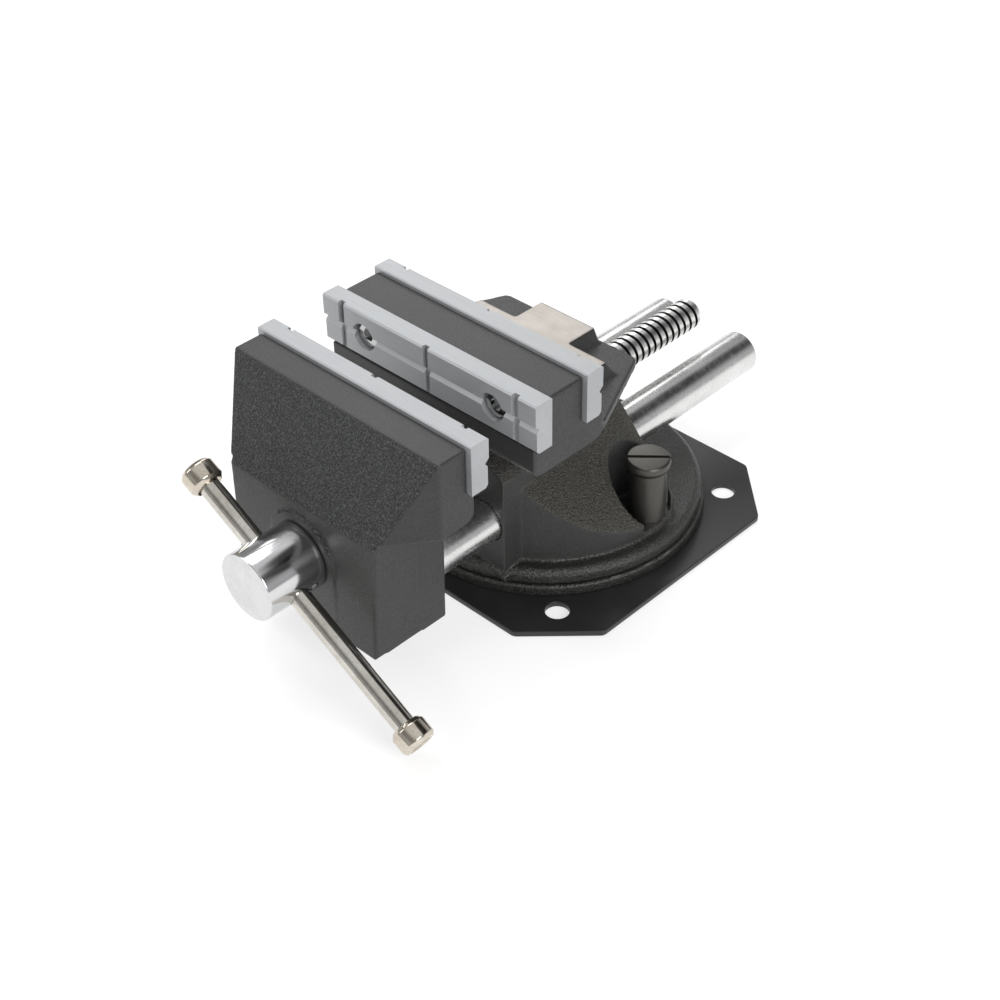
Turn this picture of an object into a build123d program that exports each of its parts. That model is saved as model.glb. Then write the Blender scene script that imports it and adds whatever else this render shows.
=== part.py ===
from build123d import *
import os
from math import sin, cos, tan, radians, degrees, pi, sqrt

# Bench vise with a swivel base, two round guide bars and a clamping screw.
# Millimetres. +Z up, +Y from the moving front jaw to the back, X along the jaws.
# Origin: the swivel axis on the underside of the base plate.

os.makedirs("parts", exist_ok=True)

# ---------------------------------------------------------------- driving dimensions
# base plate, swivel ring
PLATE_HX, PLATE_HY = 76.2, 74.2        # half width, half depth
PLATE_CX, PLATE_CY = 25.8, 24.8        # corner clips
PLATE_T = 2.5
HOLE_X, HOLE_Y, HOLE_R = 54.3, 52.8, 5.0
RING_R = 67.0
RING_TOP = 7.2
SLOT_R, SLOT_W, SLOT_UNDER = 51.6, 8.4, 15.4   # circular T-slot: mid radius, neck, undercut
RIVET_R = 2.5
PIVOT_R = 6.0

# body casting
FLANGE_R, FLANGE_BOT, FLANGE_TOP = 65.8, 7.5, 14.0
WALL_R = 59.0
WEDGE_FRONT, WEDGE_REAR = -59.5, 16.0
NOSE_HX = 31.8
HEAD_HX = 55.0
HEAD_BOT, JAW_TOP, LEDGE_TOP = 75.5, 108.7, 88.5
SHELF_BOT, SHELF_TOP, SHELF_REAR = 78.0, 81.6, 14.0
ANVIL_TOP = 87.6
NUT_BOSS_R, NUT_BOSS_REAR = 16.0, 29.5
LOCK_Y = 23.0
STUD_X, STUD_Y = 51.6, 4.0
POCKET_X, POCKET_Y, POCKET_R, POCKET_Z = 48.2, 3.5, 13.1, 16.0

# jaw pads
PAD_L, PAD_H, PAD_T, PAD_TOP = 114.0, 21.5, 8.8, 110.4
PAD_SCREW_X = 34.5
PAD1_BACK = -100.9      # front jaw pad, works towards +Y
PAD2_BACK = -59.2       # fixed pad, works towards -Y
PAD3_BACK = -40.2       # rear pad, works towards +Y

# guide bars, screw, hub, handle
BAR_X, BAR_Z, BAR_R = 20.7, 34.6, 9.5
BAR_REAR, BAR_FRONT = 104.0, -128.0
SCREW_Z, SCREW_R, SCREW_PITCH, SCREW_CORE = 51.3, 7.0, 4.0, 5.2
SCREW_REAR = 93.0
HUB_R, HUB_FRONT, HUB_REAR = 14.0, -161.8, -135.3
HANDLE_Y, HANDLE_R, HANDLE_TILT = -147.0, 4.25, 28.7
PIN_Y = -140.8
CAP_R, CAP_L = 7.1, 9.2
HANDLE_UP, HANDLE_DOWN = 45.5, 79.7    # cap centres from the screw axis
RUN = 0.05                             # radial running clearance

# front jaw
FJ_HX, FJ_REAR, FJ_EDGE = 54.8, -97.5, -114.3
FJ_KX, FJ_KY, FJ_KZ = 40.0, -133.4, 73.3
LOW_HX, LOW_REAR, LOW_BOT = 40.4, -99.3, 21.0
PILLAR_HX, PILLAR_FRONT = 17.4, -135.1

pad_z = PAD_TOP - PAD_H / 2

# ---------------------------------------------------------------- base plate
with BuildPart() as base_plate:
    with BuildSketch(Plane.XY):
        Polygon((-PLATE_HX, -PLATE_HY + PLATE_CY), (-PLATE_HX + PLATE_CX, -PLATE_HY),
                (PLATE_HX - PLATE_CX, -PLATE_HY), (PLATE_HX, -PLATE_HY + PLATE_CY),
                (PLATE_HX, PLATE_HY - PLATE_CY), (PLATE_HX - PLATE_CX, PLATE_HY),
                (-PLATE_HX + PLATE_CX, PLATE_HY), (-PLATE_HX, PLATE_HY - PLATE_CY), align=None)
    extrude(amount=PLATE_T)
    fillet(base_plate.edges().filter_by(Axis.Z), radius=2.0)
    with BuildSketch(Plane.XY):
        with GridLocations(2 * HOLE_X, 2 * HOLE_Y, 2, 2):
            Circle(HOLE_R)
        with PolarLocations(61.6, 4, start_angle=0):
            Circle(RIVET_R)
        with PolarLocations(32, 4, start_angle=45):
            Circle(RIVET_R)
    extrude(amount=PLATE_T, mode=Mode.SUBTRACT)
    # countersink for the pivot screw head, opening downwards
    with BuildSketch(Plane.XZ):
        Polygon((0, -1), (12.3, -1), (12.3, 0.8), (10.6, 2.5), (10.6, 3.5), (0, 3.5), align=None)
    revolve(axis=Axis.Z, mode=Mode.SUBTRACT)
    chamfer(base_plate.edges().filter_by(GeomType.CIRCLE).group_by(Axis.Z)[-1].filter_by(lambda e: abs(e.radius - HOLE_R) < 0.01), length=0.4)
base_plate.part.label = "base_plate"
export_step(base_plate.part, "parts/base_plate.step")

# ---------------------------------------------------------------- outer ring and centre disc of the base
s_in, s_out = SLOT_R - SLOT_W / 2, SLOT_R + SLOT_W / 2
u_in, u_out = SLOT_R - SLOT_UNDER / 2, SLOT_R + SLOT_UNDER / 2
SLOT_CEIL = 5.3
with BuildPart() as swivel_base_ring:
    with BuildSketch(Plane.XZ):
        Polygon((u_out, PLATE_T), (RING_R, PLATE_T), (RING_R, RING_TOP - 1.2), (RING_R - 1.2, RING_TOP),
                (s_out, RING_TOP), (s_out, SLOT_CEIL), (u_out, SLOT_CEIL), align=None)
    revolve(axis=Axis.Z)
    with BuildSketch(Plane.XY.offset(PLATE_T)):
        with PolarLocations(61.6, 4, start_angle=0):
            Circle(RIVET_R)
    extrude(amount=10, mode=Mode.SUBTRACT)
swivel_base_ring.part.label = "swivel_base_ring"
export_step(swivel_base_ring.part, "parts/swivel_base_ring.step")

with BuildPart() as swivel_centre_disc:
    with BuildSketch(Plane.XZ):
        Polygon((PIVOT_R + RUN, PLATE_T + 2.4), (PIVOT_R + 4.6, PLATE_T), (u_in, PLATE_T), (u_in, SLOT_CEIL), (s_in, SLOT_CEIL),
                (s_in, RING_TOP), (PIVOT_R + RUN, RING_TOP), align=None)
    revolve(axis=Axis.Z)
    with BuildSketch(Plane.XY.offset(PLATE_T)):
        with PolarLocations(32, 4, start_angle=45):
            Circle(RIVET_R)
    extrude(amount=10, mode=Mode.SUBTRACT)
swivel_centre_disc.part.label = "swivel_centre_disc"
export_step(swivel_centre_disc.part, "parts/swivel_centre_disc.step")

with BuildPart() as base_rivets:
    with BuildSketch(Plane.XY):
        with PolarLocations(61.6, 4, start_angle=0):
            Circle(RIVET_R)
        with PolarLocations(32, 4, start_angle=45):
            Circle(RIVET_R)
    extrude(amount=RING_TOP - 0.1)
base_rivets.part.label = "base_rivets"
export_step(base_rivets.part, "parts/base_rivets.step")

# ---------------------------------------------------------------- pivot screw, clamped in the body
with BuildPart() as pivot_screw:
    with BuildSketch(Plane.XZ):
        Polygon((0, 0.4), (10.2, 0.4), (PIVOT_R, 4.6), (PIVOT_R, 28.0), (PIVOT_R - 1, 29.0), (0, 29.0), align=None)
    revolve(axis=Axis.Z)
    # hexagon socket in the countersunk head
    with BuildSketch(Plane.XY.offset(0.4)):
        RegularPolygon(radius=3.4, side_count=6)
    extrude(amount=4.5, mode=Mode.SUBTRACT)
pivot_screw.part.label = "pivot_screw"
export_step(pivot_screw.part, "parts/pivot_screw.step")

# ---------------------------------------------------------------- body casting
NECK = 24.0
EDGE_R = 3.4        # rounding of the flange rim
SLOPE_Z = lambda x: 84.6 - 1.1 * x
with BuildPart() as body_casting:
    # wedge with sloping flanks, inside a round wall
    with BuildSketch(Plane.XZ.offset(-WEDGE_REAR)):
        Polygon((-62, FLANGE_BOT), (62, FLANGE_BOT), (62, SLOPE_Z(62)), (NECK, SLOPE_Z(NECK)), (NECK, 80),
                (-NECK, 80), (-NECK, SLOPE_Z(NECK)), (-62, SLOPE_Z(62)), align=None)
    extrude(amount=WEDGE_REAR - WEDGE_FRONT)
    with BuildSketch(Plane.XY):
        Circle(WALL_R)
    extrude(amount=120, mode=Mode.INTERSECT)
    # square nose under the fixed jaw
    with BuildSketch(Plane.XZ.offset(42)):
        Polygon((-NOSE_HX, FLANGE_BOT), (NOSE_HX, FLANGE_BOT), (NOSE_HX, 57.5), (NOSE_HX - 2.5, 60.5), (20, 66), (20, 78), (-20, 78), (-20, 66),
                (-NOSE_HX + 2.5, 60.5), (-NOSE_HX, 57.5), align=None)
    extrude(amount=-WEDGE_FRONT - 42)
    # turning flange
    with BuildSketch(Plane.XZ):
        with BuildLine():
            Polyline((0, FLANGE_BOT), (FLANGE_R, FLANGE_BOT), (FLANGE_R, FLANGE_TOP - EDGE_R))
            RadiusArc((FLANGE_R, FLANGE_TOP - EDGE_R), (FLANGE_R - EDGE_R, FLANGE_TOP), -EDGE_R)
            Polyline((FLANGE_R - EDGE_R, FLANGE_TOP), (0, FLANGE_TOP), (0, FLANGE_BOT))
        make_face()
    revolve(axis=Axis.Z)
    # jaw head: ledges below the pads, bottom edges rounded
    with BuildSketch(Plane.YZ.offset(-HEAD_HX)):
        with BuildLine():
            Polyline((-62.5, HEAD_BOT), (-32.5, HEAD_BOT))
            RadiusArc((-32.5, HEAD_BOT), (-28.0, 80.0), -4.6)
            Polyline((-28.0, 80.0), (-28.0, LEDGE_TOP - 1), (PAD3_BACK, LEDGE_TOP), (PAD3_BACK, JAW_TOP), (PAD2_BACK, JAW_TOP), (PAD2_BACK, LEDGE_TOP),
                     (-66.6, LEDGE_TOP), (-66.6, 79.6))
            RadiusArc((-66.6, 79.6), (-62.5, HEAD_BOT), -4.2)
        make_face()
    extrude(amount=2 * HEAD_HX)
    # tapered shelf behind the rear pad
    with BuildSketch(Plane.XY.offset(SHELF_BOT)) as shelf_sk:
        with BuildLine():
            FilletPolyline((-HEAD_HX, -45), (-HEAD_HX, -28), (-35.5, SHELF_REAR), (35.5, SHELF_REAR), (HEAD_HX, -28), (HEAD_HX, -45), radius=3.5)
            Line((HEAD_HX, -45), (-HEAD_HX, -45))
        make_face()
    extrude(amount=SHELF_TOP - SHELF_BOT)
    # T-shaped anvil, machined top, flared cast walls
    for grow, z0 in ((3.2, SHELF_TOP - 0.5), ):
        with BuildSketch(Plane.XY.offset(z0)):
            Polygon((-34.3 - grow, -36), (34.3 + grow, -36), (34.3 + grow, -3.4 + grow), (14.7 + grow, -3.4 + grow), (14.7 + grow, 12.2),
                    (-14.7 - grow, 12.2), (-14.7 - grow, -3.4 + grow), (-34.3 - grow, -3.4 + grow), align=None)
        with BuildSketch(Plane.XY.offset(ANVIL_TOP)):
            Polygon((-34.3, -36), (34.3, -36), (34.3, -3.4), (14.7, -3.4), (14.7, 12.0), (-14.7, 12.0), (-14.7, -3.4), (-34.3, -3.4), align=None)
        loft()
    # nut boss at the back
    with BuildSketch(Plane.XZ.offset(-NUT_BOSS_REAR)):
        with Locations((0, SCREW_Z)):
            Circle(NUT_BOSS_R)
    extrude(amount=NUT_BOSS_REAR)
    # bores for the guide bars and the nut
    with BuildSketch(Plane.XZ.offset(-60)):
        with Locations((BAR_X, BAR_Z), (-BAR_X, BAR_Z)):
            Circle(BAR_R + RUN)
        with Locations((0, SCREW_Z)):
            Circle(SCREW_R + 1.0)
    extrude(amount=140, mode=Mode.SUBTRACT)
    with BuildSketch(Plane.XZ.offset(-NUT_BOSS_REAR)):
        with Locations((0, SCREW_Z)):
            Circle(11.0)
    extrude(amount=33.0, mode=Mode.SUBTRACT)
    # pockets and holes for the two swivel locks
    with BuildSketch(Plane.XY.offset(POCKET_Z)):
        with Locations((POCKET_X, POCKET_Y), (-POCKET_X, POCKET_Y)):
            Circle(POCKET_R)
    extrude(amount=60.0, mode=Mode.SUBTRACT)
    with BuildSketch(Plane.XY.offset(5)):
        with Locations((STUD_X, STUD_Y), (-STUD_X, STUD_Y)):
            Circle(4.0)
    extrude(amount=20, mode=Mode.SUBTRACT)
    # pivot screw thread, hollow under the neck, nut locking screw
    with BuildSketch(Plane.XY.offset(5)):
        Circle(PIVOT_R)
    extrude(amount=24.0, mode=Mode.SUBTRACT)
    with BuildSketch(Plane.XY.offset(SCREW_Z)):
        with Locations((0, LOCK_Y)):
            Circle(2.5)
    extrude(amount=40, mode=Mode.SUBTRACT)
    # pad screw threads, through the head
    with BuildSketch(Plane.XZ.offset(-PAD3_BACK)):
        with Locations((PAD_SCREW_X, pad_z), (-PAD_SCREW_X, pad_z)):
            Circle(3.0)
    extrude(amount=PAD3_BACK - PAD2_BACK, mode=Mode.SUBTRACT)
body_casting.part.label = "body_casting"
export_step(body_casting.part, "parts/body_casting.step")

# ---------------------------------------------------------------- screw nut and its locking screw
with BuildPart() as screw_nut:
    with BuildSketch(Plane.XZ.offset(-(NUT_BOSS_REAR + 2.5))):
        with Locations((0, SCREW_Z)):
            Circle(13.5)
    extrude(amount=2.5)
    with BuildSketch(Plane.XZ.offset(-NUT_BOSS_REAR)):
        with Locations((0, SCREW_Z)):
            Circle(11.0)
    extrude(amount=33.0)
    with BuildSketch(Plane.XZ.offset(-50)):
        with Locations((0, SCREW_Z)):
            Circle(SCREW_R + RUN)
    extrude(amount=60, mode=Mode.SUBTRACT)
    with BuildSketch(Plane.XY.offset(SCREW_Z + 9.0)):
        with Locations((0, LOCK_Y)):
            Circle(2.5)
    extrude(amount=10, mode=Mode.SUBTRACT)
screw_nut.part.label = "screw_nut"
export_step(screw_nut.part, "parts/screw_nut.step")

with BuildPart() as nut_locking_screw:
    with BuildSketch(Plane.XY.offset(SCREW_Z + 9.0)):
        with Locations((0, LOCK_Y)):
            Circle(2.5)
    extrude(amount=7.6)
    with BuildSketch(Plane.XY.offset(SCREW_Z + 16.6)):
        with Locations((0, LOCK_Y)):
            RegularPolygon(radius=1.4, side_count=6)
    extrude(amount=-2.5, mode=Mode.SUBTRACT)
nut_locking_screw.part.label = "nut_locking_screw"
export_step(nut_locking_screw.part, "parts/nut_locking_screw.step")

# ---------------------------------------------------------------- swivel locks: slotted nut above, T-bolt in the ring's slot
for side, sx in (("right", 1), ("left", -1)):
    lx = sx * STUD_X
    with BuildPart() as lock_stud:
        with BuildSketch(Plane((lx, STUD_Y, 0), x_dir=(1, 0, 0), z_dir=(0, -1, 0))):
            Polygon((0, POCKET_Z + 1.5), (7.1, POCKET_Z + 1.5), (7.4, POCKET_Z + 1.8), (7.4, 40.6), (8.4, 41.6), (9.2, 42.6), (9.2, 45.6), (8.6, 46.4), (0, 46.4), align=None)
        revolve(axis=Axis((lx, STUD_Y, 0), (0, 0, 1)))
        with BuildSketch(Plane.XY.offset(46.4)):
            with Locations(Location((lx, STUD_Y, 0), (0, 0, 42 * sx))):
                Rectangle(30, 1.6)
        extrude(amount=-2.6, mode=Mode.SUBTRACT)
        with BuildSketch(Plane.XY.offset(POCKET_Z)):
            with Locations((lx, STUD_Y)):
                Circle(3.5 + RUN)
        extrude(amount=20.0, mode=Mode.SUBTRACT)
    lock_stud.part.label = "swivel_lock_nut_" + side
    export_step(lock_stud.part, "parts/swivel_lock_nut_" + side + ".step")

    with BuildPart() as lock_washer:
        with BuildSketch(Plane.XY.offset(POCKET_Z)):
            with Locations((lx, STUD_Y)):
                Circle(7.3)
                Circle(4.0, mode=Mode.SUBTRACT)
        extrude(amount=1.2)
    lock_washer.part.label = "swivel_lock_washer_" + side
    export_step(lock_washer.part, "parts/swivel_lock_washer_" + side + ".step")

    with BuildPart() as t_bolt:
        with BuildSketch(Plane.XY.offset(PLATE_T + 0.3)):
            with Locations(Location((lx, STUD_Y, 0), (0, 0, 4.4 * sx))):
                RectangleRounded(13.2, 13.2, 1.5)
        extrude(amount=2.0)
        with BuildSketch(Plane.XY.offset(PLATE_T + 2.0)):
            with Locations((lx, STUD_Y)):
                Circle(3.5)
        extrude(amount=29.0)
    t_bolt.part.label = "lock_t_bolt_" + side
    export_step(t_bolt.part, "parts/lock_t_bolt_" + side + ".step")

# ---------------------------------------------------------------- jaw pads
pad_specs = (("front_jaw_pad", PAD1_BACK, 1), ("fixed_jaw_pad_front", PAD2_BACK, -1), ("fixed_jaw_pad_rear", PAD3_BACK, 1))
for label, back, s in pad_specs:
    face = back + s * PAD_T
    lower = face - s * 0.7
    with BuildPart() as pad:
        with BuildSketch(Plane.YZ.offset(-PAD_L / 2)):
            Polygon((back, PAD_TOP - PAD_H), (lower - s * 1.2, PAD_TOP - PAD_H), (lower, PAD_TOP - PAD_H + 1.2), (lower, pad_z - 1.6),
                    (face - s * 2.0, pad_z), (face, pad_z + 1.8), (face, PAD_TOP - 0.7), (face - s * 0.7, PAD_TOP),
                    (back + s * 0.5, PAD_TOP), (back, PAD_TOP - 0.5), align=None)
        extrude(amount=PAD_L)
        # upright grooves
        for gx, depth in ((0, 1.9), (46.5, 1.9), (-46.5, 1.9)):
            with BuildSketch(Plane.XY.offset(PAD_TOP - PAD_H - 1)):
                Polygon((gx - 1.7, face + s * 0.5), (gx + 1.7, face + s * 0.5), (gx + 1.2, face - s * depth), (gx - 1.2, face - s * depth), align=None)
            extrude(amount=PAD_H + 2, mode=Mode.SUBTRACT)
        # counterbored screw holes
        hole_plane = Plane((0, back - s * 1, pad_z), x_dir=(1, 0, 0), z_dir=(0, s, 0))
        with BuildSketch(hole_plane):
            with Locations((PAD_SCREW_X, 0), (-PAD_SCREW_X, 0)):
                Circle(3.3)
        extrude(amount=20, mode=Mode.SUBTRACT)
        with BuildSketch(Plane((0, back + s * 1.6, pad_z), x_dir=(1, 0, 0), z_dir=(0, s, 0))):
            with Locations((PAD_SCREW_X, 0), (-PAD_SCREW_X, 0)):
                Circle(5.9)
        extrude(amount=20, mode=Mode.SUBTRACT)
    pad.part.label = label
    export_step(pad.part, "parts/" + label + ".step")

    with BuildPart() as pad_screws:
        with BuildSketch(Plane((0, back + s * 1.6, pad_z), x_dir=(1, 0, 0), z_dir=(0, s, 0))):
            with Locations((PAD_SCREW_X, 0), (-PAD_SCREW_X, 0)):
                Circle(5.2)
        extrude(amount=4.4)
        with BuildSketch(Plane((0, back + s * 6.0, pad_z), x_dir=(1, 0, 0), z_dir=(0, s, 0))):
            with Locations((PAD_SCREW_X, 0), (-PAD_SCREW_X, 0)):
                RegularPolygon(radius=2.9, side_count=6)
        extrude(amount=-2.8, mode=Mode.SUBTRACT)
        with BuildSketch(Plane((0, back + s * 1.6, pad_z), x_dir=(1, 0, 0), z_dir=(0, -s, 0))):
            with Locations((PAD_SCREW_X, 0), (-PAD_SCREW_X, 0)):
                Circle(3.0)
        extrude(amount=10.0)
    pad_screws.part.label = label + "_screws"
    export_step(pad_screws.part, "parts/" + label + "_screws.step")

# ---------------------------------------------------------------- front jaw casting
with BuildPart() as front_jaw:
    # head with clipped front corners, rounded rear bottom edge
    with BuildSketch(Plane.XY.offset(HEAD_BOT)):
        Polygon((-FJ_HX, FJ_REAR), (-FJ_HX, FJ_EDGE), (-FJ_KX, FJ_KY), (FJ_KX, FJ_KY), (FJ_HX, FJ_EDGE), (FJ_HX, FJ_REAR), align=None)
    extrude(amount=JAW_TOP - HEAD_BOT)
    with BuildSketch(Plane.YZ.offset(-80)):
        with BuildLine():
            Line((FJ_REAR - 4.5, HEAD_BOT), (FJ_REAR + 1, HEAD_BOT - 1))
            Line((FJ_REAR + 1, HEAD_BOT - 1), (FJ_REAR + 1, HEAD_BOT + 4.5))
            Line((FJ_REAR + 1, HEAD_BOT + 4.5), (FJ_REAR, HEAD_BOT + 4.5))
            RadiusArc((FJ_REAR, HEAD_BOT + 4.5), (FJ_REAR - 4.5, HEAD_BOT), 4.5)
        make_face()
    extrude(amount=160, mode=Mode.SUBTRACT)
    # lower block, slightly tapered
    with BuildSketch(Plane.XY.offset(LOW_BOT)):
        Polygon((-LOW_HX + 1, LOW_REAR), (-LOW_HX + 2.2, FJ_KY - 1.8), (LOW_HX - 2.2, FJ_KY - 1.8), (LOW_HX - 1, LOW_REAR), align=None)
    with BuildSketch(Plane.XY.offset(HEAD_BOT + 2)):
        Polygon((-LOW_HX, LOW_REAR), (-FJ_KX, FJ_KY), (FJ_KX, FJ_KY), (LOW_HX, LOW_REAR), align=None)
    loft()
    # arched pillar around the hub
    with BuildSketch(Plane.XZ.offset(125)):
        with Locations((0, (LOW_BOT + SCREW_Z) / 2)):
            Rectangle(2 * PILLAR_HX, SCREW_Z - LOW_BOT)
        with Locations((0, SCREW_Z)):
            Circle(PILLAR_HX)
    extrude(amount=-PILLAR_FRONT - 125)
    # sloping chest
    with BuildSketch(Plane.YZ.offset(-80)):
        Polygon((FJ_EDGE, JAW_TOP), (FJ_KY, FJ_KZ), (FJ_KY - 20, FJ_KZ + 2), (FJ_KY - 20, JAW_TOP + 5), (FJ_EDGE, JAW_TOP + 5), align=None)
    extrude(amount=160, mode=Mode.SUBTRACT)
    # pad seat
    with BuildSketch(Plane.YZ.offset(-80)):
        Polygon((PAD1_BACK, LEDGE_TOP), (PAD1_BACK + 20, LEDGE_TOP), (PAD1_BACK + 20, JAW_TOP + 5), (PAD1_BACK, JAW_TOP + 5), align=None)
    extrude(amount=160, mode=Mode.SUBTRACT)
    # screw journal, collar pocket, guide bar seats
    with BuildSketch(Plane.XZ.offset(90)):
        with Locations((0, SCREW_Z)):
            Circle(SCREW_R + RUN)
    extrude(amount=60, mode=Mode.SUBTRACT)
    with BuildSketch(Plane.XZ.offset(90)):
        with Locations((0, SCREW_Z)):
            Circle(12.5)
    extrude(amount=32, mode=Mode.SUBTRACT)
    with BuildSketch(Plane.XZ.offset(90)):
        with Locations((BAR_X, BAR_Z), (-BAR_X, BAR_Z)):
            Circle(BAR_R)
    extrude(amount=-BAR_FRONT - 90, mode=Mode.SUBTRACT)
    # set screws from below, pad screw threads
    with BuildSketch(Plane.XY.offset(LOW_BOT - 1)):
        with Locations((BAR_X, -112), (-BAR_X, -112)):
            Circle(3.0)
    extrude(amount=8, mode=Mode.SUBTRACT)
    with BuildSketch(Plane.XZ.offset(-PAD1_BACK)):
        with Locations((PAD_SCREW_X, pad_z), (-PAD_SCREW_X, pad_z)):
            Circle(3.0)
    extrude(amount=9.0, mode=Mode.SUBTRACT)
front_jaw.part.label = "front_jaw"
export_step(front_jaw.part, "parts/front_jaw.step")

# ---------------------------------------------------------------- guide bars and their set screws
for side, sx in (("right", 1), ("left", -1)):
    with BuildPart() as guide_bar:
        with BuildSketch(Plane.XZ.offset(-BAR_REAR)):
            with Locations((sx * BAR_X, BAR_Z)):
                Circle(BAR_R)
        extrude(amount=BAR_REAR - BAR_FRONT)
        chamfer(guide_bar.edges().filter_by(GeomType.CIRCLE).sort_by(Axis.Y)[-1], length=1.0)
    guide_bar.part.label = "guide_bar_" + side
    export_step(guide_bar.part, "parts/guide_bar_" + side + ".step")

with BuildPart() as guide_bar_set_screws:
    with BuildSketch(Plane.XY.offset(LOW_BOT + 0.3)):
        with Locations((BAR_X, -112), (-BAR_X, -112)):
            Circle(3.0)
            RegularPolygon(radius=1.7, side_count=6, mode=Mode.SUBTRACT)
    extrude(amount=2.0)
    with BuildSketch(Plane.XY.offset(LOW_BOT + 2.3)):
        with Locations((BAR_X, -112), (-BAR_X, -112)):
            Circle(3.0)
    extrude(amount=BAR_Z - BAR_R - LOW_BOT - 2.3)
guide_bar_set_screws.part.label = "guide_bar_set_screws"
export_step(guide_bar_set_screws.part, "parts/guide_bar_set_screws.step")

# ---------------------------------------------------------------- lead screw: journal and ringed thread form
THREAD_FRONT = -98.0
pts = [(0, HUB_FRONT + 4.0), (SCREW_R, HUB_FRONT + 4.0), (SCREW_R, THREAD_FRONT)]
y = THREAD_FRONT
while y + SCREW_PITCH <= SCREW_REAR - 1.0:
    pts += [(SCREW_CORE, y + 0.5), (SCREW_CORE, y + 1.9), (SCREW_R, y + 2.4), (SCREW_R, y + SCREW_PITCH)]
    y += SCREW_PITCH
pts += [(SCREW_R - 1.2, SCREW_REAR), (0, SCREW_REAR)]
with BuildPart() as lead_screw:
    with BuildSketch(Plane.XY.offset(SCREW_Z)):
        Polygon(*pts, align=None)
    revolve(axis=Axis((0, 0, SCREW_Z), (0, 1, 0)))
    # crossways bore for the handle, plain bore for the hub pin, key pin hole for the collar
    with BuildSketch(Plane((0, HANDLE_Y, SCREW_Z), x_dir=(0, 1, 0), z_dir=(cos(radians(HANDLE_TILT)), 0, -sin(radians(HANDLE_TILT))))):
        Circle(HANDLE_R + RUN)
    extrude(amount=20, both=True, mode=Mode.SUBTRACT)
    with BuildSketch(Plane.XY.offset(SCREW_Z)):
        with Locations((0, -113.5)):
            Circle(2.0)
    extrude(amount=20, both=True, mode=Mode.SUBTRACT)
    with BuildSketch(Plane((0, PIN_Y, SCREW_Z), x_dir=(0, 1, 0), z_dir=(cos(radians(20)), 0, -sin(radians(20))))):
        Circle(1.25)
    extrude(amount=20, both=True, mode=Mode.SUBTRACT)
lead_screw.part.label = "lead_screw"
export_step(lead_screw.part, "parts/lead_screw.step")

# ---------------------------------------------------------------- screw hub, pin, thrust washer
with BuildPart() as screw_hub:
    with BuildSketch(Plane.XY.offset(SCREW_Z)):
        Polygon((0, HUB_FRONT), (HUB_R - 0.8, HUB_FRONT), (HUB_R, HUB_FRONT + 0.8), (HUB_R, HUB_REAR - 0.5), (HUB_R - 0.5, HUB_REAR),
                (SCREW_R, HUB_REAR), (SCREW_R, HUB_FRONT + 4.0), (0, HUB_FRONT + 4.0), align=None)
    revolve(axis=Axis((0, 0, SCREW_Z), (0, 1, 0)))
    with BuildSketch(Plane((0, HANDLE_Y, SCREW_Z), x_dir=(0, 1, 0), z_dir=(cos(radians(HANDLE_TILT)), 0, -sin(radians(HANDLE_TILT))))):
        Circle(HANDLE_R + RUN)
    extrude(amount=20, both=True, mode=Mode.SUBTRACT)
    with BuildSketch(Plane((0, PIN_Y, SCREW_Z), x_dir=(0, 1, 0), z_dir=(cos(radians(20)), 0, -sin(radians(20))))):
        Circle(1.25)
    extrude(amount=20, both=True, mode=Mode.SUBTRACT)
screw_hub.part.label = "screw_hub"
export_step(screw_hub.part, "parts/screw_hub.step")

with BuildPart() as hub_pin:
    with BuildSketch(Plane((0, PIN_Y, SCREW_Z), x_dir=(0, 1, 0), z_dir=(cos(radians(20)), 0, -sin(radians(20))))):
        Circle(1.25)
    extrude(amount=13.9, both=True)
hub_pin.part.label = "hub_pin"
export_step(hub_pin.part, "parts/hub_pin.step")

# ---------------------------------------------------------------- retaining collar behind the front wall and its pin
with BuildPart() as retaining_collar:
    with BuildSketch(Plane.XZ.offset(109)):
        with Locations((0, SCREW_Z)):
            Circle(11.0)
            Circle(SCREW_R, mode=Mode.SUBTRACT)
    extrude(amount=9.0)
    with BuildSketch(Plane.XY.offset(SCREW_Z)):
        with Locations((0, -113.5)):
            Circle(2.0)
    extrude(amount=20, both=True, mode=Mode.SUBTRACT)
retaining_collar.part.label = "retaining_collar"
export_step(retaining_collar.part, "parts/retaining_collar.step")

with BuildPart() as collar_pin:
    with BuildSketch(Plane.XY.offset(SCREW_Z)):
        with Locations((0, -113.5)):
            Circle(2.0)
    extrude(amount=10.7, both=True)
collar_pin.part.label = "collar_pin"
export_step(collar_pin.part, "parts/collar_pin.step")

with BuildPart() as thrust_washer:
    with BuildSketch(Plane.XZ.offset(118.3)):
        with Locations((0, SCREW_Z)):
            Circle(11.5)
            Circle(SCREW_R + RUN, mode=Mode.SUBTRACT)
    extrude(amount=3.7)
thrust_washer.part.label = "thrust_washer"
export_step(thrust_washer.part, "parts/thrust_washer.step")

# ---------------------------------------------------------------- handle bar and end caps
HD = Vector(cos(radians(HANDLE_TILT)), 0, -sin(radians(HANDLE_TILT)))   # towards the long, low end
hc = Vector(0, HANDLE_Y, SCREW_Z)
hp = Plane(hc, x_dir=(0, 1, 0), z_dir=HD)
SPIG = 3.0
with BuildPart() as handle_bar:
    with BuildSketch(hp.offset(-(HANDLE_UP - CAP_L / 2))):
        Circle(HANDLE_R)
    extrude(amount=HANDLE_UP + HANDLE_DOWN - CAP_L)
    with BuildSketch(hp.offset(-(HANDLE_UP + CAP_L / 2 - 1.2))):
        Circle(SPIG)
    extrude(amount=HANDLE_UP + HANDLE_DOWN + CAP_L - 2.4)
handle_bar.part.label = "handle_bar"
export_step(handle_bar.part, "parts/handle_bar.step")

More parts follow.
